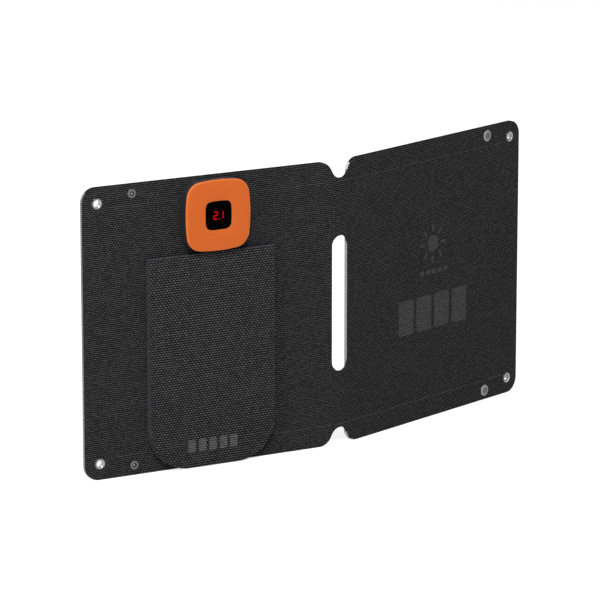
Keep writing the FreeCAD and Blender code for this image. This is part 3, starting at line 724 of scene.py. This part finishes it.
def area_light(name, place, target, size, power):
    light = bpy.data.lights.new(name, "AREA")
    light.shape = "DISK"
    light.size = size
    light.energy = power
    obj = bpy.data.objects.new(name, light)
    obj.location = place
    obj.rotation_euler = (Vector(target) - Vector(place)).to_track_quat("-Z", "Y").to_euler()
    bpy.context.scene.collection.objects.link(obj)


def seen_directly(tree):
    """1 for the rays that show the background: camera, glossy and transmission rays."""
    path = tree.nodes.new("ShaderNodeLightPath")
    total = path.outputs["Is Camera Ray"]
    for name in ("Is Glossy Ray", "Is Transmission Ray"):
        add = tree.nodes.new("ShaderNodeMath")
        add.operation = "MAXIMUM"
        tree.links.new(total, add.inputs[0])
        tree.links.new(path.outputs[name], add.inputs[1])
        total = add.outputs[0]
    return total


def make_world(ambient):
    world = bpy.data.worlds.new("studio")
    world.use_nodes = True
    tree = world.node_tree
    background = tree.nodes["Background"]
    background.inputs["Color"].default_value = grey(1.0)
    strength = tree.nodes.new("ShaderNodeMapRange")
    strength.inputs["To Min"].default_value = ambient
    strength.inputs["To Max"].default_value = 1.0
    tree.links.new(seen_directly(tree), strength.inputs["Value"])
    tree.links.new(strength.outputs["Result"], background.inputs["Strength"])
    bpy.context.scene.world = world


def make_floor(glow):
    """A white floor that keeps the shadow: it scatters light, and glows where it is seen directly."""
    half_size, drop = 12.0, 0.0002
    bm = bmesh.new()
    bmesh.ops.create_grid(bm, x_segments=1, y_segments=1, size=half_size)
    floor = new_object("floor", bm)
    floor.location.z = -drop
    material = bpy.data.materials.new("floor")
    material.use_nodes = True
    tree = material.node_tree
    tree.nodes.clear()
    diffuse = tree.nodes.new("ShaderNodeBsdfDiffuse")
    diffuse.inputs["Color"].default_value = grey(0.62)
    emission = tree.nodes.new("ShaderNodeEmission")
    scale = tree.nodes.new("ShaderNodeMath")
    scale.operation = "MULTIPLY"
    scale.inputs[1].default_value = glow
    tree.links.new(seen_directly(tree), scale.inputs[0])
    tree.links.new(scale.outputs[0], emission.inputs["Strength"])
    add = tree.nodes.new("ShaderNodeAddShader")
    output = tree.nodes.new("ShaderNodeOutputMaterial")
    tree.links.new(diffuse.outputs[0], add.inputs[0])
    tree.links.new(emission.outputs[0], add.inputs[1])
    tree.links.new(add.outputs[0], output.inputs["Surface"])
    floor.data.materials.append(material)


# ---- Fabrics over the fold ----
def web_lines():
    return [WEB_HALF * i / 8 for i in range(-8, 9)]


def make_outer_fabric():
    loops = [sheet_outline(), slot_outline()]
    for sign in (-1, 1):
        loops += fastener_holes(sign)
    groove, groove_depth, on_line = 0.5 * MM, 0.32 * MM, 0.01 * MM
    rows = [z + k * groove for z in HEM_THREAD_ROWS for k in (-1, 0, 1)]
    across = web_lines() + [sign * k * HEM_END / 10 for sign in (-1, 1) for k in range(1, 11)]

    def dent(s, z):
        near = min(abs(z - row_z) for row_z in HEM_THREAD_ROWS)
        return groove_depth if near < on_line and abs(s) < HEM_END - MM else 0.0

    fabric = sheet("outer_fabric", loops, -BACK_FABRIC, 0.0, across, rows, dent)
    finish_piece(
        fabric, FABRIC, replaces=("left_back_fabric", "right_back_fabric", "fold_web_outer")
    )
    bend_over_fold(fabric)


def web_edge_z():
    """The height at which the notch's upper flank meets the board's inner edge."""
    start = HEIGHT - NOTCH_DEPTH + NOTCH_BOTTOM_R * (1 - math.cos(NOTCH_SLANT))
    return start + (WEB_HALF - NOTCH_BOTTOM_R * math.sin(NOTCH_SLANT)) * math.tan(NOTCH_SLANT)


def web_loops():
    """The two strips of the web, above and below the slot, as one outline each."""
    low = arc(0, MID_Z + SLOT_LENGTH / 2 - WEB_HALF, WEB_HALF, math.pi, 0, 16)
    notch = [(u, z) for u, z in half_outline(1) + half_outline(-1) if abs(u) < WEB_HALF and z > MID_Z]
    edge_z = web_edge_z()
    upper = low + [(WEB_HALF, edge_z)] + sorted(set(notch), reverse=True) + [(-WEB_HALF, edge_z)]
    return upper, [(u, HEIGHT - z) for u, z in upper][::-1]


def make_inner_web():
    inner, outer = -1.4 * MM, -0.9 * MM
    for name, loop in zip(("inner_web_upper", "inner_web_lower"), web_loops()):
        web = sheet(name, [loop], inner, outer, web_lines()[1:-1])
        finish_piece(web, FABRIC, replaces=("fold_web_inner",))
        bend_over_fold(web)


def make_jumper():
    """Two flat conductors, between the outer fabric and the inner web."""
    inner, outer, half_width, half_spacing = -0.88 * MM, -0.62 * MM, 1.5 * MM, 4.0 * MM
    jumper_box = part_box("fold_jumper")
    middle = (jumper_box[0].z + jumper_box[1].z) / 2
    reach = jumper_box[1].x / COS
    for i, side in enumerate((-1, 1)):
        z = middle + side * half_spacing
        loop = rectangle(-reach, reach, z - half_width, z + half_width)
        strip = sheet(f"jumper_{i + 1}", [loop], inner, outer, web_lines())
        finish_piece(strip, TINNED, replaces=("fold_jumper",))
        bend_over_fold(strip)


def add_stitch(bm, s, z, lean):
    """One stitch: a thread that comes up from the groove, runs along it and goes down again."""
    length, radius, end_share = 2.85 * MM, 0.22 * MM, 0.45
    end_depth, sink, arch = -0.22 * MM, 0.08 * MM, 0.26 * MM
    sections, sides = 6, 6
    rows = []
    for j in range(sections + 1):
        t = j / sections
        rise = math.sin(math.pi * t)
        r = radius * (end_share + (1 - end_share) * rise**0.5)
        d = end_depth + arch * rise**0.6 - sink
        centre_s, centre_z = s + (t - 0.5) * length, z + lean * (t - 0.5)
        ring = [(centre_s, d + r * math.sin(a), centre_z + r * math.cos(a))
                for a in (2 * math.pi * k / sides for k in range(sides))]
        rows.append([bm.verts.new(on_boards(*point)) for point in ring])
    for low, high in zip(rows, rows[1:]):
        for k in range(sides):
            bm.faces.new([low[k], low[(k + 1) % sides], high[(k + 1) % sides], high[k]])
    bm.faces.new(rows[0])
    bm.faces.new(rows[-1][::-1])


def make_hem_stitches():
    """Lock stitches in the groove along both long edges, left out under the box and the leg."""
    rng = Random(SEED)
    bm = bmesh.new()
    pitch, most_lean = 3.0 * MM, 0.12
    for z in HEM_THREAD_ROWS:
        for i in range(int(2 * HEM_END / pitch)):
            s = -HEM_END + (i + 0.5) * pitch
            hidden_by_box = z > MID_Z and abs(-s - BOX_U) < BOX_HALF + MM
            hidden_by_leg = z < MID_Z and abs(-s - MID_U) < LEG_HALF + MM
            if not (hidden_by_box or hidden_by_leg):
                add_stitch(bm, s, z, rng.uniform(-most_lean, most_lean) * MM)
    bmesh.ops.recalc_face_normals(bm, faces=bm.faces)
    stitches = finish_piece(new_object("hem_stitches", bm), THREAD)
    bend_over_fold(stitches)


def bars(first, step, count, width, low, high, r, left=False):
    """A row of round-cornered bars between two heights, sizes in millimetres."""
    loops = []
    for i in range(count):
        u = first + i * step
        u0, u1 = (-(u + width) * MM, -u * MM) if left else (u * MM, (u + width) * MM)
        loops.append(rectangle(u0, u1, low * MM, high * MM, r * MM))
    return loops


def make_prints():
    """Generic marks in the makers' places: a plain sun, a row of plain blocks and two rows of bars."""
    thick = 0.05 * MM
    cu, cz, disc_r, rays = 124.0 * MM, 156.5 * MM, 7.6 * MM, 8
    ray_from, ray_to, ray_half = 11.0, 17.6, 1.3
    loops = [circle(cu, cz, disc_r, 40)]
    for i in range(rays):
        a = 2 * math.pi / rays * i
        cos, sin = math.cos(a), math.sin(a)
        ray = [(ray_from, -ray_half), (ray_to, -ray_half), (ray_to, ray_half), (ray_from, ray_half)]
        loops.append([(cu + (r * cos - w * sin) * MM, cz + (r * sin + w * cos) * MM) for r, w in ray])
    loops += bars(107, 8.0, 5, 5.4, 129.5, 133.5, 1.0)
    loops += bars(77.5, 24.5, 4, 20.5, 80, 111, 2.5)
    board_mark = joined("print_board", loops, 0.0, thick)
    finish_piece(board_mark, PRINT, "panel_right")
    leg_bars = bars(104, 10.0, 5, 7.0, 14.0, 25.0, 1.5, left=True)
    leg_mark = joined("print_leg", leg_bars, LEG_FACE, LEG_FACE + thick)
    finish_piece(leg_mark, LEG_PRINT, "leg")


# ---- Solar side ----
def make_module(side_name, sign):
    """The film, twelve cells with cut corners, tabs between the rows and ribbons at the ends."""
    body = f"panel_{side_name}"
    u0, u1 = WEB_HALF + BORDER_U, REACH - BORDER_U
    z0, z1 = BORDER_Z, HEIGHT - BORDER_Z
    margin, gap, columns, rows = 8.0 * MM, 2.0 * MM, 4, 3
    width = (u1 - u0 - 2 * margin - (columns - 1) * gap) / columns
    height = (z1 - z0 - 2 * margin - (rows - 1) * gap) / rows
    top = -(BOARD_T - 0.06 * MM)
    film_t, film_r, cell_corner, layer_t = 0.3 * MM, 4.0 * MM, 3.0 * MM, 0.1 * MM
    cell_proud, tab_proud = 0.05 * MM, 0.04 * MM
    tab_half, tab_gap, bus_width, bus_drop = 2.5 * MM, 0.1 * MM, 2.9 * MM, 3.0 * MM

    def laid(loop):
        return [(sign * u, z) for u, z in loop]

    face = laid(rectangle(u0, u1, z0, z1, film_r))
    under = sheet(f"{side_name}_module_film", [face], top, top + film_t)
    finish_piece(under, FILM, body, (f"{side_name}_front_film",))

    cell_loops = []
    for i in range(columns):
        for j in range(rows):
            a, b = u0 + margin + i * (width + gap), z0 + margin + j * (height + gap)
            c = cell_corner
            loop = [
                (a + c, b), (a + width - c, b), (a + width, b + c), (a + width, b + height - c),
                (a + width - c, b + height), (a + c, b + height), (a, b + height - c), (a, b + c),
            ]
            cell_loops.append(laid(loop))
    cells = joined(f"{side_name}_cell_faces", cell_loops, top - cell_proud, top + layer_t)
    finish_piece(cells, CELLS, body, (f"{side_name}_cells",))

    tabs = []
    for i in range(columns):
        for j in range(rows - 1):
            a, b = u0 + margin + i * (width + gap), z0 + margin + j * (height + gap) + height
            for share in (0.25, 0.75):
                mid = a + share * width
                tab = rectangle(mid - tab_half, mid + tab_half, b + tab_gap, b + gap - tab_gap)
                tabs.append(laid(tab))
    for i in range(columns - 1):
        a = u0 + margin + i * (width + gap) + 0.25 * width
        end = a + gap + 1.5 * width
        above = z0 + margin + rows * (height + gap) - gap + tab_gap
        below = z0 + margin - bus_drop
        b = above if i % 2 == 0 else below
        tabs.append(laid(rectangle(a, end, b, b + bus_width)))
    ribbons = joined(f"{side_name}_cell_tabs", tabs, top - tab_proud, top + layer_t)
    finish_piece(ribbons, LIT_TAB, body, (f"{side_name}_ribbons",))


def joined(name, loops, d0, d1):
    """Several separate flat plates in one piece."""
    plates = [sheet(f"{name}_{i}", [loop], d0, d1) for i, loop in enumerate(loops)]
    bm = bmesh.new()
    for plate in plates:
        bm.from_mesh(plate.data)
        bpy.data.objects.remove(plate)
    return new_object(name, bm)


# ---- Border and edging ----
def board_loop(sign):
    """One board's outline, closed along the fold."""
    edge = [(u, z) for u, z in half_outline(1) if u > WEB_HALF]
    low = web_edge_z()
    loop = [(WEB_HALF, HEIGHT - low)] + edge + [(WEB_HALF, low)]
    return [(sign * u, z) for u, z in loop]


def make_border(side_name, sign):
    opening = rectangle(WEB_HALF + BORDER_U, REACH - BORDER_U, BORDER_Z, HEIGHT - BORDER_Z, 4.0 * MM)
    loops = [board_loop(sign), [(sign * u, z) for u, z in opening]]
    loops += fastener_holes(sign)
    inner = -(BOARD_T - BACK_FABRIC)
    border = sheet(f"{side_name}_front_border", loops, -BOARD_T, inner, rim=1)
    node = f"{side_name}_front_fabric"
    finish_piece(border, FABRIC, f"panel_{side_name}", (node,))
    border.data.materials.append(CORE)


def make_edging(side_name, sign):
    """Binding on the long edges, from the notch's shoulder to the middle of the outer corner."""
    depth0, depth1, width, hollow = BACK_FABRIC, BOARD_T - BACK_FABRIC, 0.6 * MM, 0.12 * MM
    arc_steps, section_steps = 10, 6
    right = math.pi / 2
    path = []
    for centre_u, start, end in ((shoulder_u(), right * 1.5, right), (REACH - CORNER_R, right, right / 2)):
        for i in range(arc_steps + 1):
            a = start + (end - start) * i / arc_steps
            path.append((centre_u + CORNER_R * math.cos(a), HEIGHT - CORNER_R + CORNER_R * math.sin(a), a))
    section = [(-width, depth0), (-width, depth1)]
    for i in range(section_steps + 1):
        t = i / section_steps
        section.append((-hollow * abs(2 * t - 1) ** 3, depth1 + (depth0 - depth1) * t))
    bm = bmesh.new()
    for flip in (False, True):
        rings = []
        for u, z, a in path:
            ring = [(u + n * math.cos(a), d, z + n * math.sin(a)) for n, d in section]
            rings.append([(sign * cu, -d, HEIGHT - cz if flip else cz) for cu, d, cz in ring])
        strip = loft("strip", rings, on_boards)
        bm.from_mesh(strip.data)
        bpy.data.objects.remove(strip)
    edging = new_object(f"{side_name}_edging", bm)
    finish_piece(edging, EDGING, f"panel_{side_name}", (f"{side_name}_hems",))


# ---- Eyelets and snaps ----
def dome(r0, r1, rise, steps=8):
    """(radius, d) over a half-round ring from r1 outside to r0 inside."""
    mid, half = (r0 + r1) / 2, (r1 - r0) / 2
    turns = [math.pi * i / steps for i in range(steps + 1)]
    return [((mid + half * math.cos(a)) * MM, rise * math.sin(a) * MM) for a in turns]


def scaled(points):
    return [(r * MM, d * MM) for r, d in points]


def make_fasteners():
    """Profiles are closed (radius, d) loops in millimetres, and back is the board's solar side."""
    back = -(BOARD_T / MM)
    washer = back - 0.5  # the solar side's washer, under the rolled ends
    bore_r, barrel_r = 3.0, EYELET_HOLE_R / MM
    eyelet = dome(bore_r, 5.1, 0.6) + scaled(
        [(bore_r, washer), (3.1, back - 0.75), (barrel_r, back - 0.85), (3.9, back - 0.7), (4.0, washer),
         (barrel_r, washer), (barrel_r, 0.0)]
    )
    tube_r, well_r, well_floor, foot = SNAP_HOLE_R / MM, 1.1, back - 1.7, back - 2.2
    post = dome(1.25, 4.0, 0.55) + scaled(
        [(well_r, -0.3), (well_r, well_floor), (0, well_floor), (0, foot), (tube_r, foot), (tube_r, 0.0)]
    )
    crown_r, crown_low, crown_rise, squareness = 5.15, 0.35, 0.95, 0.55
    turns = [math.radians(12 * i) for i in range(8)]
    crown = scaled(
        [(crown_r * math.cos(a) ** squareness, crown_low + crown_rise * math.sin(a)) for a in turns][::-1]
    )
    rivet = back - 0.75
    cap = [(0, (crown_low + crown_rise) * MM)] + crown + scaled(
        [(5.13, 0.15), (5.0, 0.0), (tube_r, 0.0), (tube_r, washer), (2.1, washer), (2.0, rivet), (0, rivet)]
    )
    bead = [(0, 0.15 * MM)] + scaled([(0.35, 0.1), (0.6, -0.05), (0.7, -0.3), (0.7, -0.6), (0, -0.6)])
    for name, sign in (("left", -1), ("right", 1)):
        ring = lathe(f"{name}_eyelet_rings", eyelet, EYELETS, sign)
        finish_piece(ring, EYELET_METAL, f"panel_{name}", (f"{name}_eyelets",))
    posts = lathe("left_snap_rings", post, SNAPS, -1)
    finish_piece(posts, RING_METAL, "panel_left", ("left_snap_posts",))
    beads = lathe("left_snap_beads", bead, SNAPS, -1, 24)
    finish_piece(beads, BEAD_METAL, "panel_left")
    caps = lathe("right_snap_domes", cap, SNAPS, 1)
    finish_piece(caps, CAP_METAL, "panel_right", ("right_snap_caps",))


# ---- Controller box ----
def box_ring(inset, d):
    side_r, corner_r = 140.0 * MM, 13.5 * MM
    return [(u, d, z) for u, z in squircle(BOX_U, BOX_Z, BOX_HALF, side_r, corner_r, inset)]


def window_ring(grow, d):
    half, side_r, corner_r = 12.3 * MM, 80.0 * MM, 5.0 * MM
    return [(u, d, z) for u, z in squircle(BOX_U, BOX_Z, half, side_r, corner_r, -grow)]


def between(a, b, t):
    """The ring a share t of the way from ring a to ring b."""
    return [tuple(p + (q - p) * t for p, q in zip(x, y)) for x, y in zip(a, b)]


def make_box():
    rim, foot, wall = 0.35 * MM, 0.4 * MM, 1.8 * MM
    base = [box_ring(foot, 0.0), box_ring(0.0, foot)]
    base += [box_ring(i, d) for i, d in rounded_rim(BASE_DEPTH - rim, rim, 4)]
    base += [box_ring(wall, BASE_DEPTH), box_ring(wall, wall)]
    shell = loft("controller_shell", base)
    cut_usb_opening(shell)
    finish_piece(shell, HOUSING, "panel_left", ("controller_base",))

    edge, low, crown, crown_steps = 1.3 * MM, 0.25 * MM, 0.25 * MM, 8
    mouth_grow, lip_grow, hole_grow = 0.35 * MM, 0.18 * MM, 0.1 * MM
    rings = [box_ring(i, d) for i, d in rounded_rim(BASE_DEPTH + low, low, 3, rising=False)]
    rings += [box_ring(i, d) for i, d in rounded_rim(COVER_DEPTH - edge, edge, 8)]
    rim_ring = box_ring(edge, COVER_DEPTH)
    mouth = window_ring(mouth_grow, COVER_DEPTH)
    for k in range(1, crown_steps):
        t = k / crown_steps
        ring = between(rim_ring, mouth, t)
        rings.append([(u, d + crown * math.sin(math.pi * t), z) for u, d, z in ring])
    rings += [mouth, window_ring(lip_grow, COVER_DEPTH - 0.06 * MM)]
    rings += [window_ring(hole_grow, COVER_DEPTH - 0.25 * MM), window_ring(hole_grow, BASE_DEPTH)]
    cover = loft("controller_lid", rings, caps=False, smooth_angle=45)
    finish_piece(cover, ORANGE, "panel_left", ("controller_cover",))

    pane_t, pane_rim = 1.1 * MM, 0.3 * MM
    pane = [window_ring(0.0, PANE_DEPTH - pane_t)]
    pane += [window_ring(-i, d) for i, d in rounded_rim(PANE_DEPTH - pane_rim, pane_rim, 4)]
    window = loft("display_pane", pane)
    finish_piece(window, WINDOW, "panel_left", ("display_window",))


def cut_usb_opening(shell):
    """Opens the upper wall for the socket."""
    low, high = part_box("usb_shell")
    clear, past_wall = 0.2 * MM, 4.0 * MM
    half = SOCKET_HALF_WIDTH + clear
    d0, d1 = SOCKET_DEPTHS[0] - clear, SOCKET_DEPTHS[1] + clear
    ring = [(BOX_U - half, d0), (BOX_U + half, d0), (BOX_U + half, d1), (BOX_U - half, d1)]
    rings = [[(u, d, z) for u, d in ring] for z in (low.z, high.z + past_wall)]
    cutter = loft("usb_cutter", rings)
    opening = shell.modifiers.new("opening", "BOOLEAN")
    opening.operation = "DIFFERENCE"
    opening.object = cutter
    bpy.context.view_layer.update()
    result = bpy.data.meshes.new_from_object(shell.evaluated_get(bpy.context.evaluated_depsgraph_get()))
    shell.modifiers.remove(opening)
    shell.data = result
    bpy.data.objects.remove(cutter)


def bar_points(length, upright):
    """One bar with pointed ends, about its own middle."""
    w, run = 0.42 * MM, length / 2 - 0.06 * MM
    points = [(-run, 0), (-run + w, w), (run - w, w), (run, 0), (run - w, -w), (-run + w, -w)]
    return [(b, a) for a, b in points] if upright else points


# bar: (side, height, whether it is upright), in shares of a digit's half width and half height
DIGIT_BARS = {
    "top": (0, 1, False), "middle": (0, 0, False), "bottom": (0, -1, False),
    "upper_left": (1, 0.5, True), "upper_right": (-1, 0.5, True),
    "lower_left": (1, -0.5, True), "lower_right": (-1, -0.5, True),
}
TWO = {"top", "upper_right", "middle", "lower_left", "bottom"}
ONE = {"upper_right", "lower_right"}


def make_digits():
    """Two seven-bar digits and a point; +u is the reader's left."""
    across, half, lean = 3.2 * MM, 3.1 * MM, 0.03
    spacing, shift, dot_gap, dot_r = 2.75, 0.15, 3.6 * MM, 0.48 * MM
    lit_t, dim_t = 0.03 * MM, 0.01 * MM
    lit_loops, dim_loops = [], []
    for place, shown in ((1, TWO), (-1, ONE)):
        centre = BOX_U + (place * spacing + shift) * MM
        for bar, (side, level, upright) in DIGIT_BARS.items():
            length = half if upright else across
            u = centre + side * across / 2 - lean * level * half
            points = bar_points(length, upright)
            loop = [(-(u + a - lean * b), BOX_Z + level * half + b) for a, b in points]
            (lit_loops if bar in shown else dim_loops).append(loop)
        dot = circle(-(centre - dot_gap), BOX_Z - half, dot_r, 16)
        (lit_loops if place == 1 else dim_loops).append(dot)
    lit_bars = joined("digits_lit", lit_loops, PANE_DEPTH, PANE_DEPTH + lit_t)
    finish_piece(lit_bars, RED, "panel_left", ("display_segments",))
    dim_bars = joined("digits_dim", dim_loops, PANE_DEPTH, PANE_DEPTH + dim_t)
    finish_piece(dim_bars, DIM, "panel_left")


# ---- Leg ----
def leg_ring(inset, d):
    """The leg's outline: square at the hinge, widely rounded at its lower end."""
    r = LEG_CORNER_R
    top_r = 1.5 * MM
    u0, u1 = MID_U - LEG_HALF, MID_U + LEG_HALF
    right = math.pi / 2
    points = arc(u0 + r, LEG_LOW + r, r - inset, 2 * right, 3 * right, 20)
    points += arc(u1 - r, LEG_LOW + r, r - inset, 3 * right, 4 * right, 20)
    points += arc(u1 - top_r, LEG_TOP - top_r, top_r - inset, 0, right, 4)
    points += arc(u0 + top_r, LEG_TOP - top_r, top_r - inset, right, 2 * right, 4)
    return [(u, d, z) for u, z in points]


def make_leg():
    rim, tuck = 0.45 * MM, 0.15 * MM
    rings = [leg_ring(tuck, LEG_FABRIC_BACK)]
    rings += [leg_ring(i, d) for i, d in rounded_rim(LEG_FACE - rim, rim, 5)]
    face = loft("leg_cover", rings)
    finish_piece(face, LEG_FABRIC, "leg", ("leg_face_fabric",))
    polygon_area([(u, z) for u, _, z in leg_ring(0.0, 0.0)])


# ---- CAD nodes that stay ----
def dress_nodes():
    slots = {part["node"]: part["material_slot"] for part in frame["record"]["subparts"]}
    for name, obj in frame["nodes"].items():
        for material_slot in obj.material_slots:
            material_slot.material = SLOT_MATERIALS[slots[name]]


make_camera()
area_light("key", (-1.3, -1.7, 2.5), SCENE_MIDDLE, 1.5, 67.0)
area_light("side", (-2.4, -0.6, 0.7), (-0.1, 0, 0.12), 0.7, 15.0)
area_light("fill", (1.6, -1.6, 0.9), SCENE_MIDDLE, 1.8, 3.0)
area_light("back", (-0.6, 1.9, 1.6), SCENE_MIDDLE, 1.6, 16.0)
make_world(0.28)
make_floor(0.7)

dress_nodes()
make_outer_fabric()
make_inner_web()
make_jumper()
make_hem_stitches()
make_prints()
for board_name, board_sign in (("left", -1), ("right", 1)):
    make_module(board_name, board_sign)
    make_border(board_name, board_sign)
    make_edging(board_name, board_sign)
make_fasteners()
make_box()
make_digits()
make_leg()

bpy.context.scene.view_settings.view_transform = "Standard"
